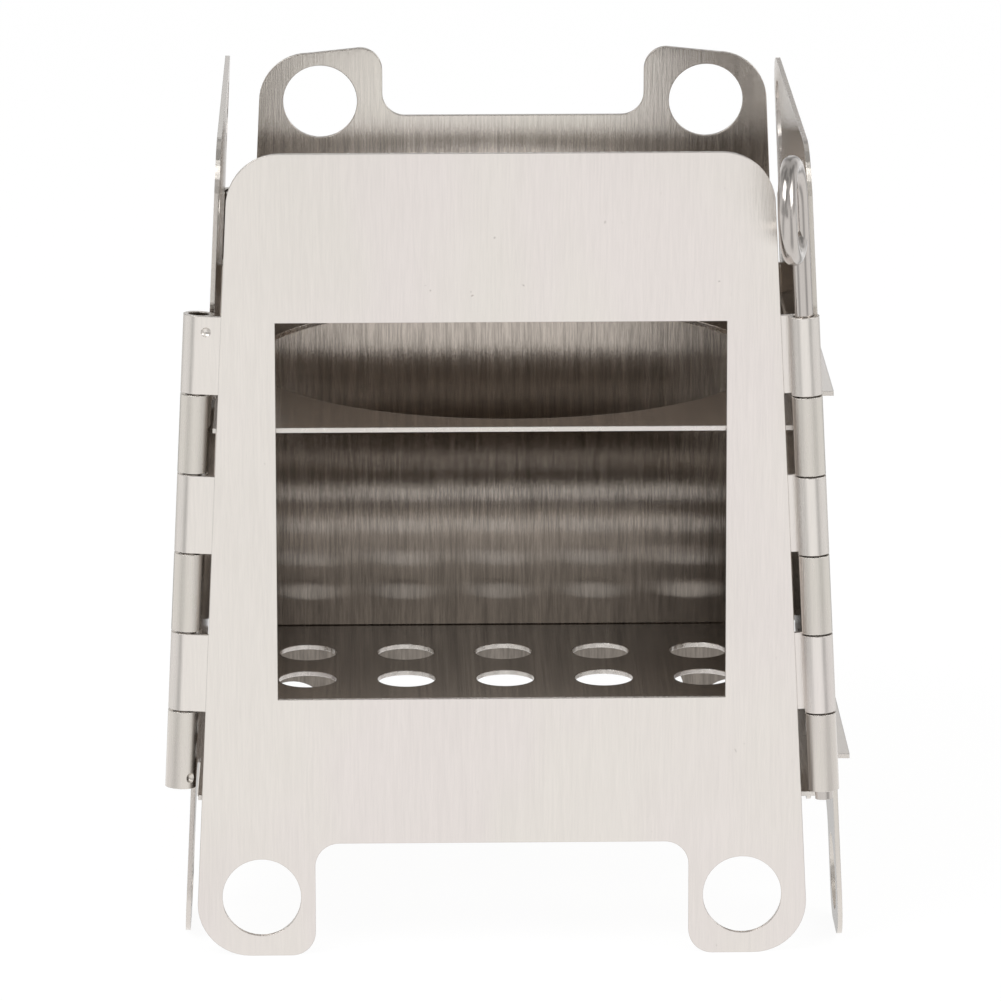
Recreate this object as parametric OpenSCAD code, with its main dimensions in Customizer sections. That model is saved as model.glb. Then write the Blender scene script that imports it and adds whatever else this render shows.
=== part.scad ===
// Folding camping wood stove: four hinged sheet steel panels, a ring pin, a pot ring and a fire grate.
// Millimetres. +X is to the right of the front panel, +Y to the back, +Z up. The feet stand at z = 0.

/* [Panels] */
// Width of a panel at its feet
panel_w = 128; // [124:1:134]
// Height of a panel along its slope
panel_h = 169; // [165:1:174]
// Lean of every panel towards the middle, degrees
lean = 2.81; // [2:0.1:3.5]
// Thickness of the sheet
sheet = 1; // [0.8:0.1:1.2]
// Radius of the top and outer foot corners
corner_r = 11; // [9:0.5:12]
// Radius of the small inner corners
inner_r = 5; // [3:0.5:6]
// Half width of the arch between the feet
arch_half = 38.9; // [36:0.5:40]
// Height of the arch
arch_h = 24; // [21:0.5:26]
// Radius of the foot and ear holes
eye_r = 8.2; // [7:0.1:8.5]
// Distance of a foot hole from the panel's centre line
foot_eye_x = 50.1; // [49:0.1:51]
// Height of a foot hole
foot_eye_h = 12.5; // [11:0.1:14]

/* [Fire window] */
// Width of the window in the front panel
window_w = 92.8; // [80:1:98]
// Height of the window's lower edge
window_low = 54.8; // [48:0.5:60]
// Height of the window's upper edge
window_top = 134; // [126:0.5:140]

/* [Pot ears] */
// Half width of the notch between the back panel's ears
ear_gap_half = 29; // [27:0.5:32]
// Depth of the notch's floor below the panels' tops
notch_depth = 15.9; // [13:0.1:19]
// Distance of an ear hole from the panel's centre line
ear_eye_x = 42.8; // [42:0.1:43]
// Depth of an ear hole's centre below the panels' tops
ear_eye_drop = 12.6; // [12:0.1:14]
// Drop of an ear's outer corner below the other panels' tops
ear_drop = 1.7; // [0:0.1:4]
// Rise of an ear's top edge towards the notch
ear_rise = 1.2; // [0:0.1:2]

/* [Hinges] */
// Diameter of the hinge pins
pin_d = 3.8; // [3:0.1:4.2]
// Play around a pin in a knuckle's bore
pin_play = 0.3; // [0.2:0.05:0.6]
// Distance of a hinge axis beyond the panel's side edge
axis_out = 4.6; // [4.4:0.1:5.4]
// Height of the lowest knuckle's foot
knuckle_low = 35.6; // [34:0.5:37]
// Pitch of the knuckles
knuckle_pitch = 16.7; // [15.5:0.1:17]
// Gap between neighbouring knuckles
knuckle_gap = 0.4; // [0.3:0.1:0.6]
// Number of knuckles at a corner
knuckles = 6; // [4:2:6]
// How far a knuckle's roll stands proud of the sheet's face
proud = 0.08; // [0.04:0.02:0.2]
// How far a tongue's faces lie inside the sheet's faces
shy = 0.04; // [0.02:0.01:0.1]
// Width of the seam where a knuckle's roll ends
seam = 0.3; // [0.2:0.1:0.4]
// Depth of the fixed pins' ends inside the knuckles
pin_sunk = 2.5; // [1:0.5:4]
// Radius of the crimps that hold the fixed pins
crimp_r = 1.2; // [0.8:0.1:1.4]
// Place of the crimp on the top knuckle, as a share of its length
crimp_top_share = 0.8; // [0.6:0.05:0.85]
// Distance of the top crimp from the knuckle's middle, towards its panel
crimp_top_shift = 1.6; // [0:0.1:2]
// Place of the crimp on the lowest knuckle, as a share of its length
crimp_low_share = 0.14; // [0.1:0.02:0.4]
// Turn of the lowest crimp about the hinge axis, degrees
crimp_low_turn = 130; // [100:5:150]

/* [Ring pin] */
// Outside diameter of the ring
ring_d = 22.5; // [20:0.5:26]
// Turn of the ring about the pin, degrees
ring_turn = 11; // [0:1:30]
// Height of the ring's centre along the pin
ring_h = 159; // [154:0.5:162]
// Sweep of the ring's loop, degrees
ring_sweep = 308; // [290:1:309]
// Length of pin that shows below the lowest knuckle
pin_tip = 1.8; // [1:0.1:3]

/* [Pot ring and grate] */
// Height of the pot ring's top face
shelf_h = 111.6; // [106:0.5:116]
// Radius of the hole in the pot ring
shelf_hole_r = 55; // [46:0.5:56]
// Height of the grate's top face
grate_h = 34; // [32:0.2:36]
// Radius of a grate hole
grate_hole_r = 6.4; // [4:0.1:7]
// Pitch of the grate holes
grate_pitch = 21.8; // [20:0.1:23]
// Number of grate holes each way
grate_n = 5; // [3:1:5]
// Width of the pot ring's tabs
shelf_tab_w = 64; // [30:1:70]
// Width of the grate's tabs
grate_tab_w = 77; // [40:1:82]
// How far the right-hand tabs stand out of the side panel
tab_out = 4.4; // [2:0.1:5]
// Gap between a plate's edge and the panel beside it
plate_gap = 0.6; // [0.5:0.1:1]
// Clearance of a tab in its slot
slot_play = 0.4; // [0.3:0.05:0.5]

/* [Hidden] */

steel_front = [0.87, 0.85, 0.82];
steel_side = [0.78, 0.76, 0.73];
steel_back = [0.70, 0.67, 0.64];
steel_wire = [0.80, 0.79, 0.77];
steel_fire = [0.55, 0.52, 0.49];

round_fn = 96;
arc_steps = 12;
FRONT = 0;
RIGHT = 1;
BACK = 2;
LEFT = 3;

pin_r = pin_d / 2;
bore_r = pin_r + pin_play;
knuckle_r = bore_r + sheet;                  // outside radius of a rolled knuckle
shrink = sin(lean);                          // half width lost along the slope
rise = tan(lean);                            // half width lost with height
half_w = panel_w / 2;
axis_x = half_w + axis_out;                  // hinge axis from the panel's centre line, at the feet
pin_in = knuckle_r - proud;                  // depth of a left-hand axis behind the outer face
pin_out = knuckle_r - sheet - proud;         // height of a right-hand axis before the outer face
pin_offset = (pin_in + pin_out) / 2;         // shift of a panel that brings its neighbour's axis onto its own
face_y = axis_x + (pin_in - pin_out) / 2;    // stove's axis to a panel's outer face, at the feet
knuckle_top = knuckle_low + knuckles * knuckle_pitch;
knuckle_len = knuckle_pitch - knuckle_gap;
notch_h = panel_h - notch_depth;             // height of the notch's floor
ear_eye_h = panel_h - ear_eye_drop;          // height of an ear hole
ear_h = panel_h - ear_drop;                  // height of an ear's outer corner
cut = 4 * panel_h;

// Half width of a panel at height v along its slope
function half_at(v) = half_w - shrink * v;

// Distance from the stove's axis to the panels' outer faces at height z
function face_at(z) = face_y - rise * z;

// Points of an arc about c from angle a to angle b
function arc(c, r, a, b) = [for (i = [0:arc_steps]) let (g = a + (b - a) * i / arc_steps)
    [c[0] + r * cos(g), c[1] + r * sin(g)]];

// The same points on the other side of the centre line, in the opposite order
function mirrored(points) = [for (i = [len(points) - 1:-1:0]) [-points[i][0], points[i][1]]];

// Foot of the k-th knuckle, counted from the top
function knuckle_foot(k) = knuckle_top - (k + 1) * knuckle_pitch + knuckle_gap / 2;

// Right half of a panel's outline, from the arch to the side edge
foot_right = concat(
    arc([arch_half - inner_r, arch_h - inner_r], inner_r, 90, 0),
    arc([arch_half + inner_r, inner_r], inner_r, 180, 270),
    arc([half_at(corner_r) - corner_r, corner_r], corner_r, 270, 360));

// Right-hand corner of a top at height v
function corner_at(v) = arc([half_at(v - corner_r) - corner_r, v - corner_r], corner_r, 0, 90);

// Right half of a straight top
corner_right = corner_at(panel_h);

// Right half of a top with an ear beside a notch
ear_right = concat(
    corner_at(ear_h),
    arc([ear_gap_half + inner_r, ear_h + ear_rise - inner_r], inner_r, 90, 180),
    arc([ear_gap_half - inner_r, notch_h + inner_r], inner_r, 0, -90));

module outline(top) {
    right = concat(foot_right, top);
    polygon(concat(right, mirrored(right)));
}

module eyes(x, v) {
    for (side = [-1, 1]) translate([side * x, v]) circle(r = eye_r, $fn = round_fn);
}

// Places a panel, drawn in X and Y with its outer face at z = 0 and seen from outside, on side q of the stove
module on_side(q) {
    rotate([0, 0, q * 90])
        translate([-pin_offset, -face_y, 0])
            rotate([90 - lean, 0, 0]) children();
}

// Turns z along the hinge axis at the panel's left end (end = -1) or right end (end = 1), with 0 at the ground.
// The left-hand roll goes inwards and the right-hand roll outwards, so two neighbours share an axis.
module on_axis(end) {
    depth = end < 0 ? -pin_in : pin_out;
    translate([end * axis_x, 0, depth])
        rotate([-90, 0, 0])
            rotate([0, -end * lean, 0])
                translate([0, 0, -depth * rise]) children();
}

// Section of a knuckle and of the tongue that joins it to the sheet, seen along the hinge axis
module knuckle_section(end) {
    sheet_y = end < 0 ? -pin_in : pin_out;
    seam_y = end < 0 ? sheet_y + sheet - shy : sheet_y + shy - seam;
    reach = axis_out + sheet;
    difference() {
        union() {
            circle(r = knuckle_r, $fn = round_fn);
            translate([end < 0 ? 0 : -reach, sheet_y + shy]) square([reach, sheet - 2 * shy]);
        }
        circle(r = bore_r, $fn = round_fn);
        translate([end < 0 ? 0 : -reach, seam_y]) square([reach, seam]);
    }
}

// The rolled knuckles of one end. odd picks rows 1, 3 and 5.
module knuckle_row(end, odd) {
    on_axis(end) for (k = [odd ? 0 : 1:2:knuckles - 1])
        translate([0, 0, knuckle_foot(k)]) linear_extrude(knuckle_len) knuckle_section(end);
}

// A crimp pressed into the k-th knuckle, at a share of its length. turn is 0 outwards and grows to the right,
// and shift moves the crimp sideways from there.
module crimp(end, k, turn, shift, share) {
    on_axis(end) rotate([0, 0, turn])
        translate([shift, -knuckle_r - crimp_r / 2, knuckle_foot(k) + knuckle_len * share])
            sphere(r = crimp_r, $fn = round_fn);
}

// A panel's sheet and knuckles, in the panel's own frame
module panel(top, left_odd, right_odd) {
    translate([0, 0, -sheet]) linear_extrude(sheet) difference() {
        outline(top);
        eyes(foot_eye_x, foot_eye_h);
    }
    knuckle_row(-1, left_odd);
    knuckle_row(1, right_odd);
}

// Keeps what stands above the ground, so that the feet end level
module level_feet() {
    difference() {
        children();
        translate([-cut / 2, -cut / 2, -cut]) cube(cut);
    }
}

// Slots in a side panel for the tabs of both plates
module plate_slots(q) {
    slot(q, shelf_h, shelf_tab_w);
    slot(q, grate_h, grate_tab_w);
}

module slot(q, h, w) {
    far = face_at(h) - 3 * sheet;
    rotate([0, 0, q * 90 - 90])
        translate([far, -w / 2 - slot_play, h - sheet - slot_play])
            cube([6 * sheet, w + 2 * slot_play, sheet + 2 * slot_play]);
}

// A plate between the panels, with a tab through each side panel
module plate(h, tab_w) {
    inner = face_at(h) - sheet - plate_gap;
    left_tip = face_at(h) - slot_play;
    right_tip = face_at(h) + tab_out;
    translate([0, 0, h - sheet]) {
        translate([-inner, -inner, 0]) cube([2 * inner, 2 * inner, sheet]);
        translate([-left_tip, -tab_w / 2, 0]) cube([left_tip + right_tip, tab_w, sheet]);
    }
}

module front_panel() {
    color(steel_front) level_feet() on_side(FRONT) difference() {
        panel(corner_right, true, true);
        translate([-window_w / 2, window_low, -2 * sheet])
            cube([window_w, window_top - window_low, 4 * sheet]);
        crimp(-1, 0, 0, crimp_top_shift, crimp_top_share);
    }
}

module back_panel() {
    color(steel_back) level_feet() on_side(BACK) difference() {
        panel(ear_right, false, false);
        translate([0, 0, -2 * sheet]) linear_extrude(4 * sheet) eyes(ear_eye_x, ear_eye_h);
    }
}

module side_panel(q, left_odd, right_odd) {
    level_feet() difference() {
        on_side(q) difference() {
            panel(corner_right, left_odd, right_odd);
            translate([0, 0, -2 * sheet]) linear_extrude(4 * sheet) eyes(ear_eye_x, ear_eye_h);
        }
        plate_slots(q);
    }
}

module left_panel() {
    color(steel_side) difference() {
        side_panel(LEFT, true, false);
        on_side(LEFT) crimp(1, knuckles - 1, crimp_low_turn, 0, crimp_low_share);
    }
}

module right_panel() {
    color(steel_side) side_panel(RIGHT, false, true);
}

// A fixed pin, sunk in the row of knuckles at the given end of side q
module fixed_pin(q, end) {
    color(steel_wire) on_side(q) on_axis(end) translate([0, 0, knuckle_low + pin_sunk])
        cylinder(r = pin_r, h = knuckles * knuckle_pitch - 2 * pin_sunk, $fn = round_fn);
}

module front_left_hinge_pin() {
    fixed_pin(FRONT, -1);
}

module back_left_hinge_pin() {
    fixed_pin(LEFT, -1);
}

module back_right_hinge_pin() {
    fixed_pin(BACK, -1);
}

// The pin of the front right corner: a straight wire whose end is bent into a ring in front of it
module ring_pin() {
    bend_r = (ring_d - pin_d) / 2;
    low = knuckle_low - pin_tip;
    color(steel_wire) on_side(FRONT) on_axis(1) rotate([0, 0, -ring_turn]) {
        translate([0, 0, low]) rotate([0, 0, 90]) cylinder(r = pin_r, h = ring_h - low, $fn = round_fn);
        translate([0, -bend_r, ring_h]) rotate([90, 0, 90]) rotate_extrude(angle = ring_sweep, $fn = round_fn)
            translate([bend_r, 0]) circle(r = pin_r, $fn = round_fn);
    }
}

module pot_ring() {
    color(steel_fire) difference() {
        plate(shelf_h, shelf_tab_w);
        translate([0, 0, shelf_h - 2 * sheet]) cylinder(r = shelf_hole_r, h = 4 * sheet, $fn = round_fn);
    }
}

module fire_grate() {
    first = -(grate_n - 1) / 2;
    color(steel_fire) difference() {
        plate(grate_h, grate_tab_w);
        for (i = [0:grate_n - 1], j = [0:grate_n - 1])
            translate([(first + i) * grate_pitch, (first + j) * grate_pitch, grate_h - 2 * sheet])
                cylinder(r = grate_hole_r, h = 4 * sheet, $fn = round_fn);
    }
}

front_panel();
left_panel();
right_panel();
back_panel();
ring_pin();
front_left_hinge_pin();
back_left_hinge_pin();
back_right_hinge_pin();
pot_ring();
fire_grate();
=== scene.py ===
"""Looks of a folding camping wood stove: brushed steel, a pale floor and the photograph's camera."""

import math

import bpy
from mathutils import Matrix, Vector


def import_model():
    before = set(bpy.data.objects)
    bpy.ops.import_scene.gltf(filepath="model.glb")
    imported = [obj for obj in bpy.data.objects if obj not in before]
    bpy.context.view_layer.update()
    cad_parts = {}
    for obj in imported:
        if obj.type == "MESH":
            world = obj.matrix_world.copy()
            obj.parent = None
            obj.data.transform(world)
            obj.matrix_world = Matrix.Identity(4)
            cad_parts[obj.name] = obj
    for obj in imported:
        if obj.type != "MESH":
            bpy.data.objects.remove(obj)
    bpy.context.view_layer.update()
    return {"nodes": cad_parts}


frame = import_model()


def colour(r, g, b):
    """An sRGB colour given from 0 to 255, as linear RGBA."""
    linear = [c / 255 / 12.92 if c < 10.3 else ((c / 255 + 0.055) / 1.055) ** 2.4 for c in (r, g, b)]
    return (*linear, 1.0)


# The photograph's camera: side and focal length in pixels, angles in degrees, place in metres
PICTURE_SIDE = 1001
FOCAL_LENGTH = 6711.745
PITCH = 14.38
YAW = 1.185
ROLL = -0.046
CAMERA_AT = (-0.03052, -1.40390, 0.44009)
SENSOR = 36.0
NEAR_CLIP = 0.05

# Directions in the CAD frame. Each panel's outer face leans inwards and so looks up a little.
LEAN = math.radians(2.81)
UP = (0, 0, 1)
BACKWARDS = (0, 1, 0)
FRONT_SIDE = (0, -math.cos(LEAN), math.sin(LEAN))
RIGHT_SIDE = (math.cos(LEAN), 0, math.sin(LEAN))
BACK_SIDE = (0, math.cos(LEAN), math.sin(LEAN))
LEFT_SIDE = (-math.cos(LEAN), 0, math.sin(LEAN))

# Colours of the steel, and the painted shade and painted light on its inner faces and edges
OUTER = colour(227, 220, 216)
SIDE_OUT = colour(222, 215, 209)
BACK_OUT = colour(224, 218, 211)
# painted shade: the panels' inner faces, darker than their outer steel
SHADED_INNER = colour(180, 171, 162)
# painted shade: the darkest colour, at the foot of the inner walls
LOW_INNER_SHADE = colour(124, 117, 110)
# painted reflection: a bright band across the inner walls above their foot
INNER_REFLECTION_BAND = colour(215, 206, 197)
# painted shade: the pot ring's faces inside the stove, darker than its outer colour
RING_INNER_SHADE = colour(176, 168, 160)
# painted light: the grate's faces inside the stove, lighter than the outer steel
GRATE_INNER_LIGHT = colour(236, 229, 222)
WIRE = colour(198, 192, 187)
# painted highlight along sharp edges
EDGE_HIGHLIGHT = colour(246, 243, 240)
# painted shade along the front and back panels' edges
EDGE_SHADE = colour(134, 123, 114)
STAIN = colour(112, 94, 78)
TINT = (0.99, 1.02, 0.975, 1.0)

# Patterns in the steel, in cycles per metre: along and across the grain, or along X, Y and Z
FINE_ALONG, FINE_ACROSS = 14.0, 2500.0
WIDE_ALONG, WIDE_ACROSS = 9.0, 700.0
CLOUDS = (22.0, 22.0, 22.0)
TINTS = (26.0, 26.0, 14.0)
SPECKS = (1100.0, 1100.0, 1100.0)
SPECK_PATCHES = (60.0, 60.0, 60.0)

# Values of a noise between which a pattern goes from none to full
STREAK_RANGE = (0.34, 0.66)
TINT_RANGE = (0.40, 0.62)
SPECK_RANGE = (0.74, 0.80)
PATCH_RANGE = (0.54, 0.66)

# Strengths of the patterns in the colour
TINT_SHARE = 0.5
OUTER_STREAKS = 0.035
HIDDEN_STREAKS = 0.34
WIDE_SHARE = 0.5
MEAN_STREAK = 0.75
CLOUD_SHARE = 0.10
DARKEST_CLOUD = 0.95
STAIN_SHARE = 0.35
# share of the painted edge highlight or shade in the colour
PAINTED_EDGE_SHARE = 0.5

# Where the painted inner shade and light begin and end: metres from the middle across a plate, where its tabs
# start, and metres of height on a panel, from its painted dark foot to its painted bright band, its usual
# painted shade and its rim
INSIDE_PANELS = (0.0625, 0.066)
LOW_WALL = (0.040, 0.080)
UPPER_WALL = (0.088, 0.100)
TOP_RIM = (0.140, 0.157)
# share of the painted inner shade kept at the top rim, where the inner face is lit like the outside
RIM_SHADE_SHARE = 0.12

# A normal's share of a sheet's outward direction: from its hidden face to its rim, from its rolls to its flats
HIDDEN_FACE = (-0.9, -0.5)
ROLL_FACE = (0.80, 0.98)

# Roughness: of the sheets, and what a roll, the patterns and a worn edge add or take
SHEET_ROUGHNESS = 0.14
ROLL_ROUGHNESS = 0.13
WIDE_ROUGHNESS = 0.05
CLOUD_ROUGHNESS = 0.03
MEAN_ROUGHNESS = 0.04
WORN_POLISH = 0.05

# A small turn of the grain, so that it is never parallel to a face's normal
GRAIN_TURN = (0.05, 0.04, 0.03)

# Relief of the brush lines, and the rounding of sharp edges and the mask of their wear and painted highlight
# or shade, in metres but for the ranges
GRAIN_RELIEF = 0.00004
WIDE_RELIEF = 0.6
ROUNDING = 0.00025
WEAR_AND_PAINTED_EDGE_WIDTH = 0.0002
WEAR_AND_PAINTED_EDGE_RANGE = (0.80, 0.995)
BEVEL_SAMPLES = 6

# The floor: half side in metres, glow seen by the camera and the metal (1 is white), and its share
FLOOR_HALF = 4.0
FLOOR_GLOW = 1.05
FLOOR_GLOW_SHARE = 0.9
FLOOR_DARK = (0.82, 0.82, 0.82, 1)
FLOOR_LIGHT = (0.86, 0.86, 0.86, 1)
FLOOR_CLOUDS = (3.0, 3.0, 3.0)
DIAGONAL_RANGE = (0.05, 0.75)
DIAGONAL_GLOW = 0.45
SHADE_START = (0.012, 0.05)
LEAST_AREA = 0.0004

# The world: brightness by height and by screens
SKY_RANGE = (0.0, 0.8)
SKY_TOP = 0.6
SCREENS = (2.6, 2.6, 0.9)
SCREEN_RANGE = (0.40, 0.60)
SCREEN_GLOW = (0.55, 1.15)

# Lamps: name, place, size and watts, all turned to LAMP_AIM
LAMP_AIM = (0, 0, 0.08)
LAMPS = (
    ("key_lamp", (-0.9, -0.9, 1.6), (1.2, 1.2), 14.0),
    ("fill_lamp", (1.2, -0.6, 0.9), (0.9, 0.9), 5.0),
)


class Nodes:
    """The node tree of a material or a world, with short ways to add and join nodes."""

    def __init__(self, owner):
        owner.use_nodes = True
        self.tree = owner.node_tree
        self.tree.nodes.clear()

    def add(self, kind, **settings):
        node = self.tree.nodes.new(kind)
        for key, value in settings.items():
            setattr(node, key, value)
        return node

    def join(self, source, target):
        """Links an output to an input, or sets the input's value."""
        if hasattr(source, "is_output"):
            self.tree.links.new(source, target)
        else:
            target.default_value = source

    def output(self, kind, shader):
        """Adds the output node of a kind and joins the shader to it."""
        self.join(shader.outputs[0], self.add(kind).inputs[0])

    def math(self, operation, a, b=0.0):
        node = self.add("ShaderNodeMath", operation=operation)
        self.join(a, node.inputs[0])
        self.join(b, node.inputs[1])
        return node.outputs[0]

    def vector(self, operation, a, b):
        node = self.add("ShaderNodeVectorMath", operation=operation)
        self.join(a, node.inputs[0])
        self.join(b, node.inputs[1])
        return node.outputs["Value" if operation == "DOT_PRODUCT" else "Vector"]

    def split(self, vector):
        """X, Y and Z of a vector."""
        node = self.add("ShaderNodeSeparateXYZ")
        self.join(vector, node.inputs[0])
        return node.outputs

    def ramp(self, value, low, high, to_low=0.0, to_high=1.0):
        """to_low at low and below, to_high at high and above, and smooth between."""
        node = self.add("ShaderNodeMapRange", interpolation_type="SMOOTHSTEP")
        for socket, v in zip(node.inputs, (value, low, high, to_low, to_high)):
            self.join(v, socket)
        return node.outputs[0]

    def noise(self, place, scale, detail=3.0, rough=0.6):
        """Noise in the object's own space. scale is in cycles per metre along X, Y and Z."""
        stretched = self.vector("MULTIPLY", place, scale)
        node = self.add("ShaderNodeTexNoise")
        self.join(stretched, node.inputs["Vector"])
        node.inputs["Scale"].default_value = 1.0
        node.inputs["Detail"].default_value = detail
        node.inputs["Roughness"].default_value = rough
        return node.outputs["Fac"]

    def mix(self, factor, a, b, blend="MIX"):
        node = self.add("ShaderNodeMix", data_type="RGBA", blend_type=blend)
        self.join(factor, node.inputs["Factor"])
        self.join(a, node.inputs[6])
        self.join(b, node.inputs[7])
        return node.outputs[2]

    def dimmed(self, base, tone):
        """A colour times a grey tone."""
        grey = self.add("ShaderNodeCombineColor")
        for socket in grey.inputs[:3]:
            self.join(tone, socket)
        return self.mix(1.0, base, grey.outputs[0], "MULTIPLY")

    def rounded(self, radius=ROUNDING):
        """A normal that rounds sharp edges."""
        bevel = self.add("ShaderNodeBevel", samples=BEVEL_SAMPLES)
        bevel.inputs["Radius"].default_value = radius
        return bevel.outputs[0]

    def edge_wear_and_painted_light(self):
        """1 on sharp edges, 0 on flat faces: where edges get the painted highlight or painted shade, and the
        polish of wear.
        """
        flat = self.add("ShaderNodeNewGeometry").outputs["Normal"]
        match = self.vector("DOT_PRODUCT", self.rounded(WEAR_AND_PAINTED_EDGE_WIDTH), flat)
        return self.ramp(match, *WEAR_AND_PAINTED_EDGE_RANGE, 1.0, 0.0)


def sheet_look(n, place, facing, outer, inner, outwards, both_faces):
    """A sheet's colour with painted shade on its inner faces (painted light on the grate), the strength of its
    streaks, and the roughness that its rolls add.
    """
    tints = n.noise(place, TINTS, detail=2.0)
    tinted = [c * t for c, t in zip(outer, TINT)]
    base = n.mix(n.ramp(tints, *TINT_RANGE, 0.0, TINT_SHARE), outer, tinted)

    turned = n.vector("DOT_PRODUCT", facing, outwards)
    at = n.split(place)
    satin = n.ramp(n.math("ABSOLUTE", turned), *ROLL_FACE, ROLL_ROUGHNESS, 0.0)
    # share of the painted inner colour: on the plates' faces inside the panels, and on the panels' inner
    # faces, less at the rim
    if both_faces:
        turned = n.math("MULTIPLY", n.math("ABSOLUTE", turned), -1.0)
        painted_share = n.ramp(n.math("ABSOLUTE", at["X"]), *INSIDE_PANELS, 1.0, 0.0)
    else:
        painted_share = n.ramp(at["Z"], *TOP_RIM, 1.0, RIM_SHADE_SHARE)
        # painted shade darkest at the foot of the inner walls, a painted bright reflection band above it, then
        # the usual painted shade
        between = n.mix(n.ramp(at["Z"], *LOW_WALL), LOW_INNER_SHADE, INNER_REFLECTION_BAND)
        inner = n.mix(n.ramp(at["Z"], *UPPER_WALL), between, inner)
    # mask of the painted inner shade (painted light on the grate) over the outer colour
    hidden = n.math("MULTIPLY", n.ramp(turned, *HIDDEN_FACE, 1.0, 0.0), painted_share)
    streaks = n.math("ADD", n.math("MULTIPLY", hidden, HIDDEN_STREAKS), OUTER_STREAKS)
    return n.mix(hidden, base, inner), streaks, satin


def across_the_grain(n, facing, grain):
    """The direction in the world that lies in the surface, across the brush lines."""
    askew = [g + t for g, t in zip(grain, GRAIN_TURN)]
    turn = n.add("ShaderNodeVectorTransform", vector_type="VECTOR", convert_from="OBJECT", convert_to="WORLD")
    n.join(n.vector("CROSS_PRODUCT", facing, askew), turn.inputs[0])
    return turn.outputs[0]


def relief(n, lines, wide, depth):
    """The normal of the brush lines, over rounded edges."""
    bump = n.add("ShaderNodeBump")
    bump.inputs["Strength"].default_value = depth
    bump.inputs["Distance"].default_value = GRAIN_RELIEF
    n.join(n.math("ADD", lines, n.math("MULTIPLY", wide, WIDE_RELIEF)), bump.inputs["Height"])
    n.join(n.rounded(), bump.inputs["Normal"])
    return bump.outputs[0]


def brushed(name, outer, inner=None, outwards=None, both_faces=False, grain=UP, rough=SHEET_ROUGHNESS,
            smear=1.0, grain_depth=0.5, stain=1.0, edge=EDGE_HIGHLIGHT):
    """Brushed steel.

    outer is its colour, and inner the colour of a sheet's face turned away from outwards, or of both: painted
    shade, and on the grate painted light.
    grain is the direction of the brush lines in the object's space, smear how far they spread a
    reflection, grain_depth how deep they look, stain how dark the specks are, and edge the colour of the
    painted highlight or painted shade on the edges.
    """
    material = bpy.data.materials.new(name)
    n = Nodes(material)
    at = n.add("ShaderNodeTexCoord")
    place, facing = at.outputs["Object"], at.outputs["Normal"]
    lines = n.noise(place, [FINE_ALONG if g else FINE_ACROSS for g in grain], detail=4.0, rough=0.7)
    wide = n.noise(place, [WIDE_ALONG if g else WIDE_ACROSS for g in grain], detail=2.0)
    cloud = n.noise(place, CLOUDS, detail=4.0)
    specks = n.noise(place, SPECKS, detail=1.0)
    patches = n.noise(place, SPECK_PATCHES, detail=2.0)

    base, streaks, satin = outer, OUTER_STREAKS, 0.0
    if inner:
        base, streaks, satin = sheet_look(n, place, facing, outer, inner, outwards, both_faces)
    wide_streak = n.math("MULTIPLY", n.ramp(wide, *STREAK_RANGE), WIDE_SHARE)
    tone = n.math("ADD", n.ramp(lines, *STREAK_RANGE), wide_streak)
    tone = n.math("MULTIPLY", n.math("SUBTRACT", tone, MEAN_STREAK), streaks)
    tone = n.math("ADD", tone, n.math("MULTIPLY", cloud, CLOUD_SHARE))
    toned = n.dimmed(base, n.math("ADD", tone, DARKEST_CLOUD))
    # sharp edges: painted highlight or painted shade in the colour, and less roughness from wear
    worn_and_painted_edge = n.edge_wear_and_painted_light()
    edged = n.mix(n.math("MULTIPLY", worn_and_painted_edge, PAINTED_EDGE_SHARE), toned, edge)
    dots = n.math("MULTIPLY", n.ramp(specks, *SPECK_RANGE), n.ramp(patches, *PATCH_RANGE))
    stained = n.mix(n.math("MULTIPLY", dots, STAIN_SHARE * stain), edged, STAIN)

    shader = n.add("ShaderNodeBsdfPrincipled")
    n.join(stained, shader.inputs["Base Color"])
    shader.inputs["Metallic"].default_value = 1.0
    shader.inputs["Anisotropic"].default_value = smear
    uneven = n.math("MULTIPLY", cloud, CLOUD_ROUGHNESS)
    roughness = n.math("ADD", n.math("MULTIPLY", wide, WIDE_ROUGHNESS), uneven)
    roughness = n.math("ADD", n.math("ADD", roughness, rough - MEAN_ROUGHNESS), satin)
    roughness = n.math("SUBTRACT", roughness, n.math("MULTIPLY", worn_and_painted_edge, WORN_POLISH))
    n.join(roughness, shader.inputs["Roughness"])

    n.join(across_the_grain(n, facing, grain), shader.inputs["Tangent"])
    n.join(relief(n, lines, wide, grain_depth), shader.inputs["Normal"])
    n.output("ShaderNodeOutputMaterial", shader)
    return material


def diagonal_shade(n, place):
    """1 near the object and straight before each side, dimmer far out along the floor's diagonals."""
    at = n.split(place)
    xx = n.math("MULTIPLY", at["X"], at["X"])
    yy = n.math("MULTIPLY", at["Y"], at["Y"])
    away = n.math("ADD", n.math("ADD", xx, yy), LEAST_AREA)
    diagonal = n.math("DIVIDE", n.math("ABSOLUTE", n.math("SUBTRACT", xx, yy)), away)
    screens = n.ramp(diagonal, *DIAGONAL_RANGE, DIAGONAL_GLOW, 1.0)
    far = n.ramp(away, *SHADE_START)
    return n.math("ADD", n.math("MULTIPLY", n.math("SUBTRACT", screens, 1.0), far), 1.0)


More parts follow.
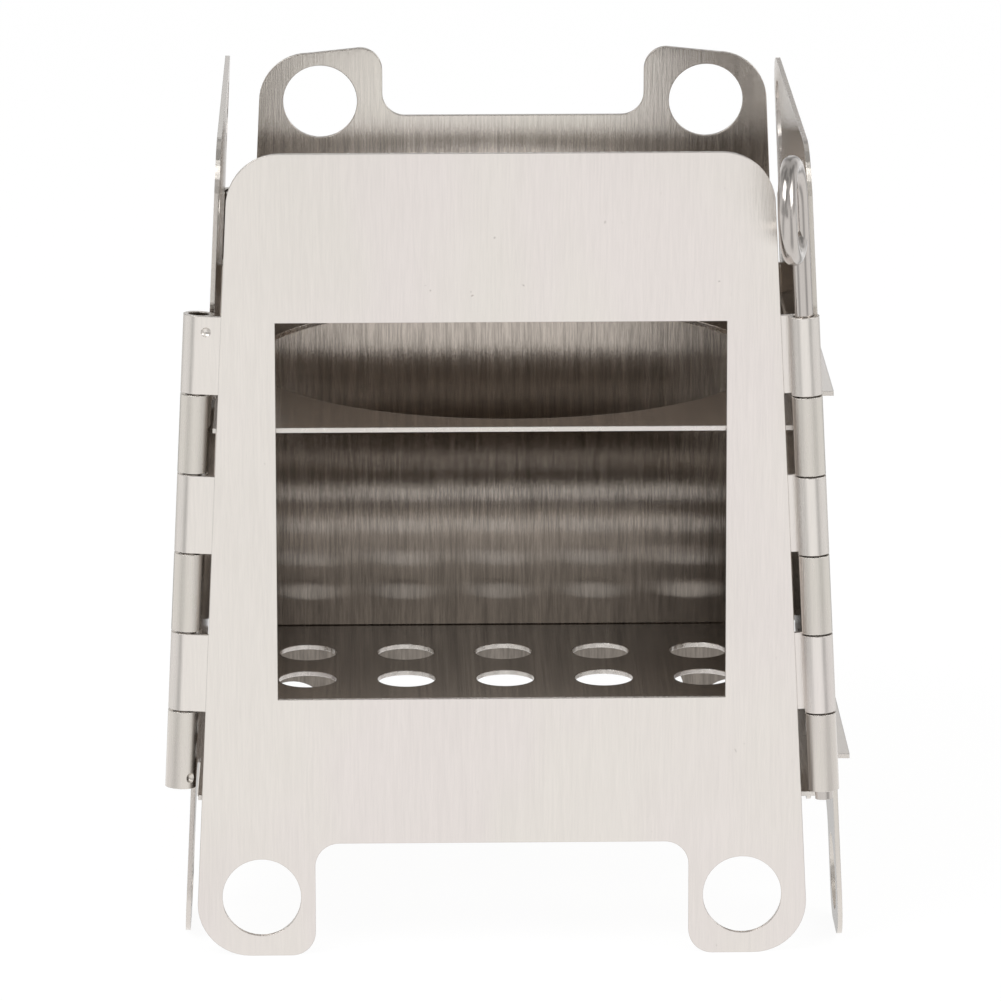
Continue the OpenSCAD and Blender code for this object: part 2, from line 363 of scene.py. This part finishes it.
def white_stage(name):
    """Pale surface that the camera and reflections see as white, with the object's shadow kept.

    In reflections it is a little dimmer along the diagonals, as a studio is between its screens.
    """
    material = bpy.data.materials.new(name)
    n = Nodes(material)
    place = n.add("ShaderNodeTexCoord").outputs["Object"]
    diffuse = n.add("ShaderNodeBsdfDiffuse")
    n.join(n.mix(n.noise(place, FLOOR_CLOUDS), FLOOR_DARK, FLOOR_LIGHT), diffuse.inputs["Color"])

    path = n.add("ShaderNodeLightPath")
    camera_sees, metal_sees = path.outputs["Is Camera Ray"], path.outputs["Is Glossy Ray"]
    less = n.math("SUBTRACT", diagonal_shade(n, place), 1.0)
    dimmed = n.math("ADD", n.math("MULTIPLY", less, metal_sees), 1.0)
    glow = n.add("ShaderNodeEmission")
    n.join(n.math("MULTIPLY", dimmed, FLOOR_GLOW), glow.inputs["Strength"])
    seen = n.math("MAXIMUM", camera_sees, metal_sees)
    seen = n.math("MAXIMUM", seen, path.outputs["Is Transmission Ray"])
    blend = n.add("ShaderNodeMixShader")
    n.join(n.math("MULTIPLY", seen, FLOOR_GLOW_SHARE), blend.inputs[0])
    n.join(diffuse.outputs[0], blend.inputs[1])
    n.join(glow.outputs[0], blend.inputs[2])
    n.output("ShaderNodeOutputMaterial", blend)
    return material


def dress(node, material):
    """Gives every slot of a CAD node its finished material."""
    for slot in frame["nodes"][node].material_slots:
        slot.material = material


def linked(name, data):
    """A new object in the scene."""
    piece = bpy.data.objects.new(name, data)
    bpy.context.collection.objects.link(piece)
    return piece


def floor(name, half, material):
    """A square on the ground."""
    mesh = bpy.data.meshes.new(name)
    corners = [(-half, -half, 0.0), (half, -half, 0.0), (half, half, 0.0), (-half, half, 0.0)]
    mesh.from_pydata(corners, [], [(0, 1, 2, 3)])
    mesh.materials.append(material)
    piece = linked(name, mesh)


def lamp(name, at, size, watts):
    """A soft rectangular lamp turned to the object."""
    data = bpy.data.lights.new(name, "AREA")
    data.shape = "RECTANGLE"
    data.size, data.size_y = size
    data.energy = watts
    piece = linked(name, data)
    piece.location = at
    piece.rotation_euler = (Vector(LAMP_AIM) - Vector(at)).to_track_quat("-Z", "Y").to_euler()


def camera():
    """The photograph's camera, from its fitted place and angles."""
    pitch, yaw, roll = (math.radians(a) for a in (PITCH, YAW, ROLL))
    ahead = Vector((math.sin(yaw) * math.cos(pitch), math.cos(yaw) * math.cos(pitch), -math.sin(pitch)))
    right = Vector((math.cos(yaw), -math.sin(yaw), 0))
    up = right.cross(ahead)
    tilted_right = math.cos(roll) * right + math.sin(roll) * up
    tilted_up = math.cos(roll) * up - math.sin(roll) * right
    data = bpy.data.cameras.new("camera")
    data.sensor_width = SENSOR
    data.lens = SENSOR * FOCAL_LENGTH / PICTURE_SIDE
    data.clip_start = NEAR_CLIP
    piece = linked("camera", data)
    axes = Matrix((tilted_right, tilted_up, -ahead)).transposed().to_4x4()
    piece.matrix_world = Matrix.Translation(CAMERA_AT) @ axes
    bpy.context.scene.camera = piece


def world():
    """A pale studio: bright below, dimmer above, with soft darker and lighter screens around."""
    sky = bpy.data.worlds.new("studio")
    bpy.context.scene.world = sky
    n = Nodes(sky)
    around = n.add("ShaderNodeTexCoord").outputs["Generated"]
    height = n.ramp(n.split(around)["Z"], *SKY_RANGE, 1.0, SKY_TOP)
    screens = n.ramp(n.noise(around, SCREENS, detail=1.0), *SCREEN_RANGE, *SCREEN_GLOW)
    glow = n.add("ShaderNodeBackground")
    n.join(n.math("MULTIPLY", height, screens), glow.inputs["Strength"])
    n.output("ShaderNodeOutputWorld", glow)


dress("front_panel", brushed("front_steel", OUTER, SHADED_INNER, FRONT_SIDE, edge=EDGE_SHADE))
dress("left_panel", brushed("left_steel", SIDE_OUT, SHADED_INNER, LEFT_SIDE))
dress("right_panel", brushed("right_steel", SIDE_OUT, SHADED_INNER, RIGHT_SIDE))
dress("back_panel", brushed("back_steel", BACK_OUT, SHADED_INNER, BACK_SIDE, edge=EDGE_SHADE))
# the pot ring gets painted shade on its faces inside the stove, the grate painted light
dress("pot_ring", brushed("pot_ring_steel", OUTER, RING_INNER_SHADE, UP, both_faces=True, grain=BACKWARDS))
dress("fire_grate", brushed("grate_steel", OUTER, GRATE_INNER_LIGHT, UP, both_faces=True, grain=BACKWARDS))
wire = brushed("wire_steel", WIRE, rough=0.17, smear=0.2, grain_depth=0.2, stain=0.5)
for pin in ("ring_pin", "front_left_hinge_pin", "back_left_hinge_pin", "back_right_hinge_pin"):
    dress(pin, wire)

floor("floor", FLOOR_HALF, white_stage("pale_floor"))
for settings in LAMPS:
    lamp(*settings)
world()
camera()

bpy.context.scene.view_settings.view_transform = "Standard"
